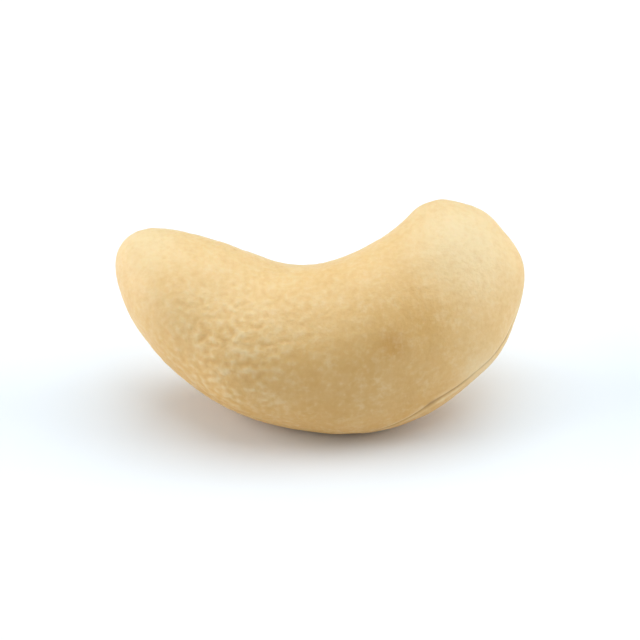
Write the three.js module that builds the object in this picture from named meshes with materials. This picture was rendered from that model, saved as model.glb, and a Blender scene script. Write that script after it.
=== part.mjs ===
// A shelled cashew kernel, leaning back on a small flat spot under its weight.
// Millimetres, +Z up, the chord of the crescent along X. The kernel grew as one piece, so it is one mesh.
import * as THREE from "three";
import { mergeVertices } from "three/addons/utils/BufferGeometryUtils.js";

// The crescent lies in its bending plane: u runs from the slim tip to the blunt end, v from the back of the
// crescent to its hollow, and w is across the plane. Along the spine, s goes from -1 at the slim tip to 1.
const SPINE = [
  [-10.5, 11.6],
  [-7.2, 1.9],
  [5.3, 3.0],
  [8.5, 13.2],
];
const HALF_DEPTH = [4.75, 1.35, 1.65, -0.55]; // in the bending plane, as a polynomial in s
const DEPTH_SKEW = -0.5; // fills the hollow side of the slim tip and the back of the blunt end
const HALF_THICKNESS = [4.98, 0.45, 0.35]; // across the bending plane, as a polynomial in s

// Low fullnesses and flats of the outline, by their places (u, v).
const KNOBS = [
  { place: [11.5, 9.2], height: 0.16, wide: 1.6 },
  { place: [11.3, 6.2], height: -0.1, wide: 1.5 },
  { place: [9.3, 12.6], height: 0.14, wide: 1.1 },
  { place: [6.0, 13.0], height: 0.46, wide: 1.25 },
  { place: [0.5, 9.7], height: 0.22, wide: 3.2 },
  { place: [-10.9, 11.2], height: -0.12, wide: 1.2 },
  { place: [-10.5, 6.6], height: 0.28, wide: 1.8 },
  { place: [-9.3, 5.0], height: 0.14, wide: 1.8 },
  { place: [-5.2, 1.5], height: 0.28, wide: 2.6 },
  { place: [8.8, 3.2], height: -0.24, wide: 2.2 },
];
const KNOB_LENGTH = 2; // how much longer a knob is across the bending plane than in it

// Low swells, each a wave over the skin: its turn in radians a millimetre along u, v and w.
const SWELLS = [
  { wave: [0.45, 0.4, 0.6], start: 0.6, height: 0.08 },
  { wave: [-0.3, 0.9, 0.5], start: 2.1, height: 0.06 },
  { wave: [0.85, -0.6, 0.9], start: 4.0, height: 0.04 },
];

// The suture between the two halves goes right round, turned a little out of the bending plane. Along one
// stretch of the back of the crescent it wanders the other way, most at SUTURE_WANDER_AT on the spine.
const SUTURE_TURN = THREE.MathUtils.degToRad(-8);
const SUTURE_WANDER = THREE.MathUtils.degToRad(23);
const SUTURE_WANDER_AT = 0.5;
const SUTURE_WANDER_LONG = 0.32;
const SUTURE_DEEP = 0.16;
const SUTURE_WIDE = 0.32;

// The germ sat in a small pit on the suture, on the hollow side of the blunt end.
const PIT_DIRECTION = new THREE.Vector3(0.93, 0.367, 0);
const PIT_DEEP = 0.3;
const PIT_WIDE = 0.6;

const LEAN = THREE.MathUtils.degToRad(48); // of the bending plane, from level
const FLAT_CUT = 0.55; // how far the rounded underside is flattened where it rests

const GRID = 24; // cells along each edge of the cube that becomes the skin
const SUTURE_CELL = 0.45; // width of the cells at the suture, against even ones

const SKIN_COLOUR = 0xe6c48e;
const SKIN_ROUGHNESS = 0.55;

const spine = new THREE.CubicBezierCurve(...SPINE.map(([u, v]) => new THREE.Vector2(u, v)));
const polynomial = (terms, s) => terms.reduceRight((sum, term) => sum * s + term, 0);
const bump = (distance, wide) => Math.exp(-((distance / wide) ** 2));

// The smooth body at a direction of the unit sphere whose z = 0 is the suture: a point (u, v, w), and the
// way out of the skin there.
function bodyPoint(direction) {
  const s = direction.x;
  const onBack = (1 - direction.y) / 2;
  const turn = SUTURE_TURN + SUTURE_WANDER * onBack * bump(s - SUTURE_WANDER_AT, SUTURE_WANDER_LONG);
  const y = direction.y * Math.cos(turn) + direction.z * Math.sin(turn);
  const z = direction.z * Math.cos(turn) - direction.y * Math.sin(turn);
  const t = (s + 1) / 2;
  const along = spine.getTangent(t);
  const inward = new THREE.Vector2(-along.y, along.x);
  const depth = polynomial(HALF_DEPTH, s) * (1 + DEPTH_SKEW * s * y) * y;
  const place = spine.getPoint(t).addScaledVector(inward, depth);
  const outward = along.multiplyScalar(s).addScaledVector(inward, y);
  return {
    point: new THREE.Vector3(place.x, place.y, polynomial(HALF_THICKNESS, s) * z),
    outward: new THREE.Vector3(outward.x, outward.y, z),
  };
}

const pit = bodyPoint(PIT_DIRECTION).point;

// How far the skin stands out from the smooth body.
function relief(direction, point) {
  const fromSuture = polynomial(HALF_THICKNESS, direction.x) * direction.z;
  let height = -SUTURE_DEEP * bump(fromSuture, SUTURE_WIDE);
  height -= PIT_DEEP * bump(point.distanceTo(pit), PIT_WIDE);
  for (const { place, height: knobHeight, wide } of KNOBS) {
    const distance = Math.hypot(point.x - place[0], point.y - place[1], point.z / KNOB_LENGTH);
    height += knobHeight * bump(distance, wide);
  }
  for (const { wave, start, height: swellHeight } of SWELLS) {
    height += swellHeight * Math.sin(point.dot(new THREE.Vector3(...wave)) + start);
  }
  return height;
}

// A cube whose faces are gridded, with narrow cells along the suture, blown up to the unit sphere.
function gridSphere() {
  const cube = new THREE.BoxGeometry(2, 2, 2, GRID, GRID, GRID);
  cube.deleteAttribute("normal");
  cube.deleteAttribute("uv");
  const sphere = mergeVertices(cube);
  const corner = sphere.getAttribute("position");
  const even = (c) => Math.tan((c * Math.PI) / 4);
  const narrow = (c) => SUTURE_CELL * c + (1 - SUTURE_CELL) * c ** 3;
  for (let i = 0; i < corner.count; i++) {
    const ray = new THREE.Vector3(even(corner.getX(i)), even(corner.getY(i)), narrow(corner.getZ(i)));
    corner.setXYZ(i, ...ray.normalize());
  }
  return sphere;
}

// The skin in its bending plane, leaned back, set down and flattened where it rests.
function kernelGeometry() {
  const skin = gridSphere();
  const points = skin.getAttribute("position");
  for (let i = 0; i < points.count; i++) {
    const direction = new THREE.Vector3().fromBufferAttribute(points, i);
    const { point, outward } = bodyPoint(direction);
    points.setXYZ(i, ...point.addScaledVector(outward, relief(direction, point)));
  }
  skin.rotateX(LEAN);
  skin.computeBoundingBox();
  const middle = skin.boundingBox.getCenter(new THREE.Vector3());
  skin.translate(-middle.x, -middle.y, -skin.boundingBox.min.z - FLAT_CUT);
  for (let i = 0; i < points.count; i++) {
    points.setZ(i, Math.max(points.getZ(i), 0));
  }
  return skin;
}

const material = new THREE.MeshStandardMaterial({
  color: SKIN_COLOUR,
  roughness: SKIN_ROUGHNESS,
  metalness: 0,
});
const kernel = new THREE.Mesh(kernelGeometry(), material);
kernel.name = "kernel";

const cashew = new THREE.Group();
cashew.add(kernel);

export default cashew;
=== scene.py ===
"""A shelled cashew kernel on a pale floor, in soft overhead light."""

import math

import bpy
import numpy as np
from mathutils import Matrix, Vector, noise


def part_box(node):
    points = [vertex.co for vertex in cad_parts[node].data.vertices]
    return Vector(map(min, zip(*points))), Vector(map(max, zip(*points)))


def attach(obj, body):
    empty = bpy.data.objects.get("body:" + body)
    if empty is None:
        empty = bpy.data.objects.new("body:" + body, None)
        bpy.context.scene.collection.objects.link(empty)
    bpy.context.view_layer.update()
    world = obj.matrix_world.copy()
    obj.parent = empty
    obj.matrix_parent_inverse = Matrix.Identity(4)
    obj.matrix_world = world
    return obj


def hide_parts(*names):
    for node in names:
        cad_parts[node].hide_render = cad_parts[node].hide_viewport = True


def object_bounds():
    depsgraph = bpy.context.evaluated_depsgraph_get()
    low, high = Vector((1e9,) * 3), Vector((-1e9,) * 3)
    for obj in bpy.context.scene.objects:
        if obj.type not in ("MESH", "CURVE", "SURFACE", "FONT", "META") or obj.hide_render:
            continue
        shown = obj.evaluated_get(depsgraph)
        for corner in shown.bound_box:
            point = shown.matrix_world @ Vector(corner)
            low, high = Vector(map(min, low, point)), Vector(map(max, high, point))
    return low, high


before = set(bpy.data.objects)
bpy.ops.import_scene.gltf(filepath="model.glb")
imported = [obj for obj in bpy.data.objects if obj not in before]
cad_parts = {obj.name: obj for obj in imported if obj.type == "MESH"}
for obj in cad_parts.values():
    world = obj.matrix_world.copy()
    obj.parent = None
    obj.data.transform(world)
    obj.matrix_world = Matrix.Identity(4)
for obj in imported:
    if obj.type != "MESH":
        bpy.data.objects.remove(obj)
cad_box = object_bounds()

MM = 0.001  # the shape is worked out in millimetres, and its points are written in metres

# The body of the kernel, as in the part's source. The crescent lies in its bending plane: u runs from the
# slim tip to the blunt end, v from the back of the crescent to its hollow, and w is across the plane. Along
# the spine, s goes from -1 at the slim tip to 1.
SPINE = ((-10.5, 11.6), (-7.2, 1.9), (5.3, 3.0), (8.5, 13.2))
HALF_DEPTH = (4.75, 1.35, 1.65, -0.55)
DEPTH_SKEW = -0.5
HALF_THICKNESS = (4.98, 0.45, 0.35)
KNOBS = (  # place (u, v), height, width
    ((11.5, 9.2), 0.16, 1.6),
    ((11.3, 6.2), -0.1, 1.5),
    ((9.3, 12.6), 0.14, 1.1),
    ((6.0, 13.0), 0.46, 1.25),
    ((0.5, 9.7), 0.22, 3.2),
    ((-10.9, 11.2), -0.12, 1.2),
    ((-10.5, 6.6), 0.28, 1.8),
    ((-9.3, 5.0), 0.14, 1.8),
    ((-5.2, 1.5), 0.28, 2.6),
    ((8.8, 3.2), -0.24, 2.2),
)
KNOB_LENGTH = 2
SWELLS = (  # turn in radians a millimetre along (u, v, w), start, height
    ((0.45, 0.4, 0.6), 0.6, 0.08),
    ((-0.3, 0.9, 0.5), 2.1, 0.06),
    ((0.85, -0.6, 0.9), 4.0, 0.04),
)
SUTURE_TURN = math.radians(-8)
SUTURE_WANDER = math.radians(23)
SUTURE_WANDER_AT = 0.5
SUTURE_WANDER_LONG = 0.32
PIT_DIRECTION = (0.93, 0.367, 0.0)
PIT_DEEP = 0.3
PIT_WIDE = 0.6
LEAN = math.radians(48)
FLAT_CUT = 0.55

GRID = 116  # cells along each edge of the cube that becomes the skin
SUTURE_CELL = 0.35  # width of the cells at the suture, against even ones

# The suture's own relief, too fine for the solid. Its marks go from 0 to 1.
DIP_DEEP, DIP_WIDE = 0.05, 0.35  # the rounded shoulders of the suture
SLIT_DEEP, SLIT_WIDE = 0.1, 0.055  # the slit between the halves: depth open, width closed
CREASE = 0.4  # depth of the closed slit, against the open one
SLIT_WANDER, SLIT_WANDER_LENGTH = 0.12, 3.0
SLIT_OPEN, SLIT_CHANGE = 0.45, 0.3  # how far open it is, and how much that changes
SLIT_CHANGE_LENGTH = 1.6
GAP_AT, GAP_LONG, GAP_WIDE, GAP_OPEN = (6.3, 1.9), 0.5, 0.15, 0.3  # where it opens most, by (u, v)
GAP_ASIDE, GAP_BEND = 0.45, 1.4  # how far it bends on to the near flank there, and over what length
RIM_HEIGHT, RIM_AT, RIM_WIDE = 0.04, 0.25, 0.16  # the raised edges of the slit, and their distance from it
RIM_FULL, RIM_CHANGE = 0.4, 0.5  # how full they are, and how much that changes
RIM_CHANGE_LENGTH = 1.1
BAND_AT, BAND_LONG, BAND_WIDE = (8.9, 4.0), 1.5, 1.2  # where they widen to a band, raised and painted pale as a highlight, by (u, v)
BAND_FULL = 0.7

# The rest of the skin's fine relief.
DENT_HEIGHT, DENT_SIZE = 0.05, 3.6
STREAK_HEIGHT, STREAK_SIZE = 0.03, (0.55, 3.0, 3.0)  # (u, v, w)
STREAKS_AT, STREAKS_SPREAD = -8.0, 5.0  # along u
LUMP_HEIGHT, LUMP_SIZE = 0.03, 1.3
GRAIN_HEIGHT, GRAIN_SIZE = 0.034, 0.34
GRAIN_GAP, GRAIN_FULL = 0.08, 0.4  # noise left plain between grains, and noise of a whole grain
GRAINS_AT, GRAINS_SPREAD = (-5.0, 4.3), 3.6  # (u, v)
GRAINS_ELSEWHERE = 0.2

# Colours as seen in even light, sRGB; but GOLD also paints shade low down, PALE a highlight on the suture's
# rims and the grains' tops, and TAN_SPOT shade in the grains' pits.
CREAM = (237, 200, 140)
GOLD = (214, 159, 70)
PALE = (242, 217, 169)
TAN_SPOT = (202, 139, 48)
SLIT_BROWN = (136, 86, 40)

# Places on the near flank (u, v, w), in millimetres.
PALE_ENDS = (((8.5, 11.5, 3.0), 5.5), ((-10.4, 11.8, 2.0), 4.2))  # with their radii
GOLD_PATCH, GOLD_PATCH_RADIUS = (5.4, 6.0, 4.8), 5.0
BROWN_SPOT, BROWN_SPOT_RADIUS = (4.1, 4.7, 4.6), 1.4

# How much of each colour there is. A noise's scale is the number of its features a millimetre.
NOISE_DETAIL, NOISE_ROUGHNESS = 3.0, 0.6
LOW_SHADE_FROM, LOW_SHADE_FULL = 8.5, 0.5  # v where the painted shade low down begins, and where it is full: darker and more golden toward the back edge, which lies lowest
GOLD_BASE, GOLD_AS_LOW_SHADE, GOLD_BLOTCHES, GOLD_IN_PATCH = -0.05, 0.6, 0.25, 0.3
BLOTCH_SCALE, BLOTCH_NONE, BLOTCH_FULL = 0.17, 0.32, 0.7  # with the noise of no blotch and of a whole one
PALE_AMOUNT = 0.75
SPOT_AMOUNT = 0.5
SPECKS = ((3.6, 2.5), (0.9, 2.0))  # noise scale, weight
STREAK_SCALES, STREAK_WEIGHT = (1.5, 0.35, 0.35), 1.5  # noise scales along (u, v, w)
SPECK_PALE, SPECK_TAN = 0.35, 0.16
# How strongly the grains are painted: a pale highlight on their tops, and tan shade in their pits.
GRAIN_HIGHLIGHT, GRAIN_SHADE = 0.5, 0.3

# The skin's finish.
PORE_SCALE, PORE_WEIGHT = 2.2, 1.0
FINE_SCALE, FINE_DETAIL, FINE_WEIGHT = 5.0, 4.0, 0.5
FINE_LOW, FINE_HIGH = 0.3, 0.7  # noise of the smoothest skin and of the roughest
SMOOTHEST, ROUGHEST = 0.46, 0.6
BUMP_STRENGTH, BUMP_HEIGHT = 0.5, 0.1
SUBSURFACE, SUBSURFACE_SCALE, SUBSURFACE_RADIUS = 0.15, 0.6, (1.0, 0.55, 0.22)

# The camera and the stage, in metres.
CAMERA_ELEVATION = math.radians(36)
CAMERA_DISTANCE = 0.4
CAMERA_WIDTH = 0.0365  # of the view, at the kernel
SENSOR = 36.0  # millimetres

FLOOR_SIZE = 4.0
FLOOR_COLOUR = (0.905, 0.92, 0.94, 1.0)
FLOOR_DARK = (0.896, 0.911, 0.931, 1.0)  # in its faint unevenness
FLOOR_NOISE = (90.0, 2.0, 0.5)  # scale, detail, roughness
FLOOR_ROUGHNESS = 0.7
WORLD_LIGHT = 0.27
WORLD_COLOUR = (0.77, 0.89, 1.0, 1.0)
SOFTBOXES = (  # name, place, size, power, colour
    ("overhead_softbox", (0.06, 0.08, 0.37), 0.5, 1.48, (0.89, 0.965, 1.0)),
    ("left_softbox", (-0.36, 0.0, 0.16), 0.26, 0.98, (0.98, 0.985, 1.0)),
    ("right_softbox", (0.36, 0.02, 0.16), 0.26, 0.66, (0.98, 0.985, 1.0)),
)


def polynomial(terms, s):
    return sum(term * s**power for power, term in enumerate(terms))


def bump(distance, wide):
    return np.exp(-((distance / wide) ** 2))


def smooth_noise(points):
    """Noise from about -1 to 1, with features about one unit wide."""
    return np.array([noise.noise(Vector(point)) for point in points])


def grid_sphere(cells):
    """Points and quads of a gridded cube blown up to the unit sphere, with narrow cells along z = 0."""
    step = np.linspace(-1, 1, cells + 1)
    across, up = np.meshgrid(step, step, indexing="ij")
    corner = np.arange((cells + 1) ** 2).reshape(cells + 1, cells + 1)
    around = (corner[:-1, :-1], corner[1:, :-1], corner[1:, 1:], corner[:-1, 1:])
    face = np.stack(around, axis=-1).reshape(-1, 4)
    points, quads = [], []
    for axis in range(3):
        for side in (-1, 1):
            sheet = np.empty((corner.size, 3))
            sheet[:, axis] = side
            sheet[:, (axis + 1) % 3] = across.ravel()
            sheet[:, (axis + 2) % 3] = up.ravel()
            quads.append((face if side > 0 else face[:, ::-1]) + corner.size * len(points))
            points.append(sheet)
    points, place = np.unique(np.round(np.concatenate(points), 9), axis=0, return_inverse=True)
    rays = np.tan(points * math.pi / 4)
    rays[:, 2] = SUTURE_CELL * points[:, 2] + (1 - SUTURE_CELL) * points[:, 2] ** 3
    return rays / np.linalg.norm(rays, axis=1)[:, None], place.ravel()[np.concatenate(quads)]


def spine(s):
    """Points of the spine and the way along it, in (u, v)."""
    t = ((s + 1) / 2)[:, None]
    a, b, c, d = np.array(SPINE)
    points = (1 - t) ** 3 * a + 3 * (1 - t) ** 2 * t * b + 3 * (1 - t) * t**2 * c + t**3 * d
    along = (1 - t) ** 2 * (b - a) + 2 * (1 - t) * t * (c - b) + t**2 * (d - c)
    return points, along / np.linalg.norm(along, axis=1)[:, None]


def smooth_body(directions):
    """The body without its relief: points (u, v, w), and the way out of the skin at each."""
    s = directions[:, 0]
    on_back = (1 - directions[:, 1]) / 2
    turn = SUTURE_TURN + SUTURE_WANDER * on_back * bump(s - SUTURE_WANDER_AT, SUTURE_WANDER_LONG)
    y = directions[:, 1] * np.cos(turn) + directions[:, 2] * np.sin(turn)
    z = directions[:, 2] * np.cos(turn) - directions[:, 1] * np.sin(turn)
    middle, along = spine(s)
    inward = np.stack((-along[:, 1], along[:, 0]), axis=1)
    depth = polynomial(HALF_DEPTH, s) * (1 + DEPTH_SKEW * s * y) * y
    points = np.column_stack((middle + inward * depth[:, None], polynomial(HALF_THICKNESS, s) * z))
    outward = np.column_stack((along * s[:, None] + inward * y[:, None], z))
    return points, outward


def body_relief(points):
    """The knobs, swells and germ pit that the solid has too."""
    pit = smooth_body(np.array([PIT_DIRECTION]))[0][0]
    height = -PIT_DEEP * bump(np.linalg.norm(points - pit, axis=1), PIT_WIDE)
    for (u, v), knob, wide in KNOBS:
        distance = np.linalg.norm((points - (u, v, 0)) / (1, 1, KNOB_LENGTH), axis=1)
        height += knob * bump(distance, wide)
    for wave, start, swell in SWELLS:
        height += swell * np.sin(points @ wave + start)
    return height


def beside(points, place, wide):
    """1 at a place (u, v), falling to 0 some widths away."""
    return bump(np.linalg.norm(points[:, :2] - place, axis=1), wide)


def skin_grains(points):
    """Small bumps and pits, from -1 to 1: bold at one place of each flank, faint elsewhere."""
    amount = GRAINS_ELSEWHERE + (1 - GRAINS_ELSEWHERE) * beside(points, GRAINS_AT, GRAINS_SPREAD)
    rise = smooth_noise(points / GRAIN_SIZE)
    return amount * np.sign(rise) * np.clip((np.abs(rise) - GRAIN_GAP) / GRAIN_FULL, 0, 1)


def suture_marks(points, from_suture):
    """The slit between the halves and the rims along it, each 0 to 1, uneven along their length."""
    gap = beside(points, GAP_AT, GAP_LONG)
    change = SLIT_CHANGE * smooth_noise(points / SLIT_CHANGE_LENGTH)
    opening = np.clip(SLIT_OPEN + change + GAP_OPEN * gap, 0, 1)
    slit = opening * bump(from_suture, SLIT_WIDE * (1 + opening) + GAP_WIDE * gap)
    fullness = np.clip(RIM_FULL + RIM_CHANGE * smooth_noise(points / RIM_CHANGE_LENGTH), 0, 1)
    rim_and_highlight = fullness * bump(np.abs(from_suture) - RIM_AT, RIM_WIDE)
    band = BAND_FULL * beside(points, BAND_AT, BAND_LONG) * bump(from_suture, BAND_WIDE)
    return slit, np.maximum(rim_and_highlight, band)


def skin_relief(points, from_suture, slit, rim_and_highlight):
    """What is too fine for the solid: the suture's slit and rims, dents, streaks and lumps."""
    height = RIM_HEIGHT * rim_and_highlight - DIP_DEEP * bump(from_suture, DIP_WIDE)
    height -= SLIT_DEEP * np.maximum(slit, CREASE * bump(from_suture, SLIT_WIDE))
    height += DENT_HEIGHT * smooth_noise(points / DENT_SIZE)
    streaky = bump(points[:, 0] - STREAKS_AT, STREAKS_SPREAD)
    height += STREAK_HEIGHT * streaky * smooth_noise(points / STREAK_SIZE)
    height += LUMP_HEIGHT * smooth_noise(points / LUMP_SIZE)
    return height


def lay_down(points):
    """Leans the bending plane back, sets the kernel on its flat spot and centres it on the solid's box."""
    cos, sin = math.cos(LEAN), math.sin(LEAN)
    placed = np.column_stack(
        (points[:, 0], points[:, 1] * cos - points[:, 2] * sin, points[:, 1] * sin + points[:, 2] * cos)
    )
    low, high = (np.array(corner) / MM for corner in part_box("kernel"))
    placed[:, :2] += ((low + high) / 2 - (placed.min(axis=0) + placed.max(axis=0)) / 2)[:2]
    placed[:, 2] = np.maximum(placed[:, 2] - placed[:, 2].min() - FLAT_CUT, 0)
    return placed


def store(mesh, name, kind, values):
    """Keeps a value of each vertex on the mesh, for the material to read."""
    attribute = mesh.attributes.new(name, kind, "POINT")
    field = "vector" if kind == "FLOAT_VECTOR" else "value"
    attribute.data.foreach_set(field, np.ascontiguousarray(values, dtype=np.float32).ravel())


def kernel_piece():
    directions, quads = grid_sphere(GRID)
    points, outward = smooth_body(directions)
    wander = SLIT_WANDER * smooth_noise(points / SLIT_WANDER_LENGTH)
    aside = GAP_ASIDE * beside(points, GAP_AT, GAP_BEND)
    from_suture = polynomial(HALF_THICKNESS, directions[:, 0]) * directions[:, 2] + wander - aside
    slit, rim_and_highlight = suture_marks(points, from_suture)
    grains = skin_grains(points)
    height = body_relief(points) + skin_relief(points, from_suture, slit, rim_and_highlight) + GRAIN_HEIGHT * grains
    placed = lay_down(points + outward * height[:, None])
    mesh = bpy.data.meshes.new("kernel_skin")
    mesh.from_pydata((placed * MM).tolist(), [], quads.tolist())
    mesh.shade_smooth()
    store(mesh, "bend_place", "FLOAT_VECTOR", points)
    store(mesh, "slit", "FLOAT", slit)
    store(mesh, "rim_and_highlight", "FLOAT", rim_and_highlight)
    store(mesh, "grains", "FLOAT", grains)
    piece = bpy.data.objects.new("kernel_skin", mesh)
    bpy.context.collection.objects.link(piece)
    return piece


def linear(colour):
    """An sRGB colour of 0 to 255 as Blender's linear RGBA."""
    parts = [c / 255 for c in colour]
    return [c / 12.92 if c <= 0.04045 else ((c + 0.055) / 1.055) ** 2.4 for c in parts] + [1.0]


class Nodes:
    """Short calls for the node tree of one material."""

    def __init__(self, material):
        material.use_nodes = True
        self.tree = material.node_tree
        self.shader = self.tree.nodes["Principled BSDF"]

    def add(self, kind, inputs, **settings):
        node = self.tree.nodes.new(kind)
        for name, value in settings.items():
            setattr(node, name, value)
        for name, value in inputs.items():
            self.put(node.inputs[name], value)
        return node

    def put(self, socket, value):
        if isinstance(value, bpy.types.NodeSocket):
            self.tree.links.new(value, socket)
        else:
            socket.default_value = value

    def attribute(self, name, output):
        return self.add("ShaderNodeAttribute", {}, attribute_name=name).outputs[output]

    def noise(self, place, scale, detail=NOISE_DETAIL, roughness=NOISE_ROUGHNESS):
        inputs = {"Vector": place, "Scale": scale, "Detail": detail, "Roughness": roughness}
        return self.add("ShaderNodeTexNoise", inputs).outputs["Fac"]

    def span(self, value, low, high, to_low=0.0, to_high=1.0):
        inputs = {"Value": value, "From Min": low, "From Max": high, "To Min": to_low, "To Max": to_high}
        return self.add("ShaderNodeMapRange", inputs, interpolation_type="SMOOTHSTEP").outputs["Result"]

    def math(self, operation, a, b):
        node = self.add("ShaderNodeMath", {}, operation=operation)
        self.put(node.inputs[0], a)
        self.put(node.inputs[1], b)
        return node.outputs[0]

    def mix(self, factor, a, b):
        """From colour a to colour b, in the mix node's sockets for colours."""
        node = self.add("ShaderNodeMix", {"Factor": factor}, data_type="RGBA")
        self.put(node.inputs[6], a)
        self.put(node.inputs[7], b)
        return node.outputs[2]

    def weigh(self, base, *terms):
        """base plus each value times its weight."""
        for value, weight in terms:
            node = self.add("ShaderNodeMath", {}, operation="MULTIPLY_ADD")
            for socket, part in zip(node.inputs, (value, weight, base)):
                self.put(socket, part)
            base = node.outputs[0]
        return base

    def near(self, place, centre, radius):
        """1 at a place of the kernel, falling to 0 at that radius."""
        offset = self.add("ShaderNodeVectorMath", {}, operation="DISTANCE")
        self.put(offset.inputs[0], place)
        self.put(offset.inputs[1], centre)
        return self.span(offset.outputs["Value"], 0.0, radius, 1.0, 0.0)


def flesh_colour(n, place):
    """Cream, with painted shade making it darker and more golden low down, more golden in one patch, paler
    at both ends, with soft mottling.
    """
    height = n.add("ShaderNodeSeparateXYZ", {"Vector": place}).outputs["Y"]
    # Painted shade: darker and more golden toward the back edge, which lies lowest.
    painted_low_shade = n.span(height, LOW_SHADE_FROM, LOW_SHADE_FULL)
    blotch = n.span(n.noise(place, BLOTCH_SCALE), BLOTCH_NONE, BLOTCH_FULL)
    patch = n.near(place, GOLD_PATCH, GOLD_PATCH_RADIUS)
    gold = n.weigh(GOLD_BASE, (painted_low_shade, GOLD_AS_LOW_SHADE), (blotch, GOLD_BLOTCHES), (patch, GOLD_IN_PATCH))
    colour = n.mix(gold, linear(CREAM), linear(GOLD))
    for centre, radius in PALE_ENDS:
        end = n.near(place, centre, radius)
        colour = n.mix(n.math("MULTIPLY", end, PALE_AMOUNT), colour, linear(PALE))
    spot = n.near(place, BROWN_SPOT, BROWN_SPOT_RADIUS)
    return n.mix(n.math("MULTIPLY", spot, SPOT_AMOUNT), colour, linear(TAN_SPOT))


def tinted(n, colour, amount, pale, tan):
    """A colour made paler where amount is over 0, and browner where it is under 0."""
    colour = n.mix(n.math("MULTIPLY", amount, pale), colour, linear(PALE))
    return n.mix(n.math("MULTIPLY", amount, -tan), colour, linear(TAN_SPOT))


def speckled(n, place, colour):
    """Painted highlight on the grains' tops and painted shade in their pits, with faint streaks and fine
    specks, over a colour.
    """
    streaked = n.add("ShaderNodeVectorMath", {}, operation="MULTIPLY")
    n.put(streaked.inputs[0], place)
    n.put(streaked.inputs[1], STREAK_SCALES)
    layers = [(n.noise(place, scale), weight) for scale, weight in SPECKS]
    layers.append((n.noise(streaked.outputs["Vector"], 1.0), STREAK_WEIGHT))
    middle = sum(weight for _, weight in layers) / 2
    colour = tinted(n, colour, n.weigh(-middle, *layers), SPECK_PALE, SPECK_TAN)
    # The grains are painted: paler on their raised tops as a highlight, and browner in the pits between as
    # shade.
    return tinted(n, colour, n.attribute("grains", "Fac"), GRAIN_HIGHLIGHT, GRAIN_SHADE)


def sutured(n, colour):
    """The brown slit between the halves, and a painted highlight on its raised rims, over a colour."""
    # Painted highlight: the rims are painted pale where their raised edges catch the light.
    colour = n.mix(n.attribute("rim_and_highlight", "Fac"), colour, linear(PALE))
    return n.mix(n.attribute("slit", "Fac"), colour, linear(SLIT_BROWN))


def skin_material():
    material = bpy.data.materials.new("kernel_skin")
    n = Nodes(material)
    place = n.attribute("bend_place", "Vector")  # millimetres
    n.put(n.shader.inputs["Base Color"], sutured(n, speckled(n, place, flesh_colour(n, place))))
    fine = n.noise(place, FINE_SCALE, FINE_DETAIL)
    n.put(n.shader.inputs["Roughness"], n.span(fine, FINE_LOW, FINE_HIGH, SMOOTHEST, ROUGHEST))
    n.shader.inputs["Subsurface Weight"].default_value = SUBSURFACE
    n.shader.inputs["Subsurface Radius"].default_value = SUBSURFACE_RADIUS
    n.shader.inputs["Subsurface Scale"].default_value = SUBSURFACE_SCALE * MM
    height = n.weigh(0.0, (fine, FINE_WEIGHT), (n.noise(place, PORE_SCALE), PORE_WEIGHT))
    relief = {"Height": height, "Strength": BUMP_STRENGTH, "Distance": BUMP_HEIGHT * MM}
    n.put(n.shader.inputs["Normal"], n.add("ShaderNodeBump", relief).outputs["Normal"])
    return material


def floor_material():
    material = bpy.data.materials.new("pale_floor")
    n = Nodes(material)
    place = n.add("ShaderNodeTexCoord", {}).outputs["Object"]
    tone = n.noise(place, *FLOOR_NOISE)
    n.put(n.shader.inputs["Base Color"], n.mix(tone, FLOOR_DARK, FLOOR_COLOUR))
    n.shader.inputs["Roughness"].default_value = FLOOR_ROUGHNESS
    return material


def make_stage():
    bpy.ops.mesh.primitive_plane_add(size=FLOOR_SIZE)
    floor = bpy.context.object
    floor.name = "pale_floor"
    floor.data.materials.append(floor_material())

    world = bpy.data.worlds.new("soft_light")
    bpy.context.scene.world = world
    world.use_nodes = True
    background = world.node_tree.nodes["Background"]
    background.inputs["Color"].default_value = WORLD_COLOUR
    background.inputs["Strength"].default_value = WORLD_LIGHT

    for name, place, size, power, colour in SOFTBOXES:
        light = bpy.data.lights.new(name, "AREA")
        light.size = size
        light.energy = power
        light.color = colour
        lamp = bpy.data.objects.new(name, light)
        lamp.location = place
        lamp.rotation_euler = (-Vector(place)).to_track_quat("-Z", "Y").to_euler()
        bpy.context.collection.objects.link(lamp)
    bpy.context.scene.view_settings.view_transform = "Standard"


def make_camera():
    low, high = (Vector(corner) for corner in cad_box)
    middle = (low + high) / 2
    back = Vector((0, -math.cos(CAMERA_ELEVATION), math.sin(CAMERA_ELEVATION)))
    lens = bpy.data.cameras.new("camera")
    lens.sensor_width = SENSOR
    lens.lens = SENSOR * CAMERA_DISTANCE / CAMERA_WIDTH
    camera = bpy.data.objects.new("camera", lens)
    camera.location = middle + back * CAMERA_DISTANCE
    camera.rotation_euler = (-back).to_track_quat("-Z", "Y").to_euler()
    bpy.context.collection.objects.link(camera)
    bpy.context.scene.camera = camera


make_stage()
make_camera()
kernel = kernel_piece()
kernel.data.materials.append(skin_material())
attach(kernel, "root")
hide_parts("kernel")
